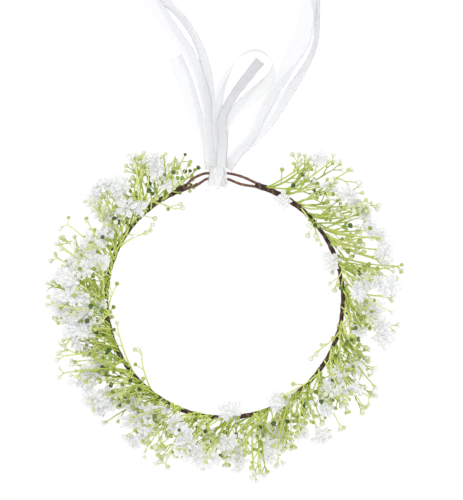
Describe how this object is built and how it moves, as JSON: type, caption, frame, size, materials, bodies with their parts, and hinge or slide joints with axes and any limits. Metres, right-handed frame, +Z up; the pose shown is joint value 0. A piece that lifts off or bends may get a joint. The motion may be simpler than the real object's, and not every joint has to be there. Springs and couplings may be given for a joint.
{
  "type": "flower crown",
  "caption": "Artificial baby's-breath crown on a taped wire hoop, open at the back and closed by a sheer ribbon tied through two wire end loops.",
  "frame": {"origin": "middle of the head opening, on the surface that the crown lies on", "axes": "+Z up along the hoop's axis, +Y towards the back of the head where the ribbon is, +X to the right seen from above"},
  "size_m": [0.2685, 0.3934, 0.0494],
  "materials": {
    "wire": "plain drawn wire, hidden inside the tape",
    "tape": "crepe paper tape wound in a spiral",
    "loop_wire": "paper-covered wire",
    "stem": "soft moulded plastic, satin",
    "petal": "thin white cut fabric",
    "organza": "sheer white organza"
  },
  "bodies": {
    "crown": {"hoop_wire": "wire", "hoop_tape": "tape", "left_eyelet": "loop_wire", "right_eyelet": "loop_wire", "left_binding": "tape", "right_binding": "tape", "sprig_01": "stem", "sprig_02": "stem", "sprig_03": "stem", "sprig_04": "stem", "sprig_05": "stem", "sprig_06": "stem", "sprig_07": "stem", "sprig_08": "stem", "sprig_09": "stem", "sprig_10": "stem", "sprig_11": "stem", "sprig_12": "stem", "sprig_13": "stem", "sprig_14": "stem", "sprig_15": "stem", "sprig_16": "stem", "sprig_17": "stem", "sprig_18": "stem", "sprig_19": "stem", "sprig_20": "stem", "sprig_21": "stem", "flower_01": "petal", "flower_02": "petal", "flower_03": "petal", "flower_04": "petal", "flower_05": "petal", "flower_06": "petal", "flower_07": "petal", "flower_08": "petal", "flower_09": "petal", "flower_10": "petal", "flower_11": "petal", "flower_12": "petal", "flower_13": "petal", "flower_14": "petal", "flower_15": "petal", "flower_16": "petal", "flower_17": "petal", "flower_18": "petal", "flower_19": "petal", "flower_20": "petal", "flower_21": "petal", "hoop_flower_1": "petal", "hoop_flower_2": "petal", "hoop_flower_3": "petal", "hoop_flower_4": "petal"},
    "ribbon": {"ribbon_knot": "organza", "long_loop_left": "organza", "long_loop_right": "organza", "small_loop": "organza", "short_tail_left": "organza", "short_tail_right": "organza"}
  },
  "joints": [
    {"name": "ribbon_swing", "type": "hinge", "parent": "crown", "child": "ribbon", "pos_m": [-0.0057, 0.09275, 0.024], "axis": [1, 0, 0], "range_deg": [-90, 90]}
  ]
}
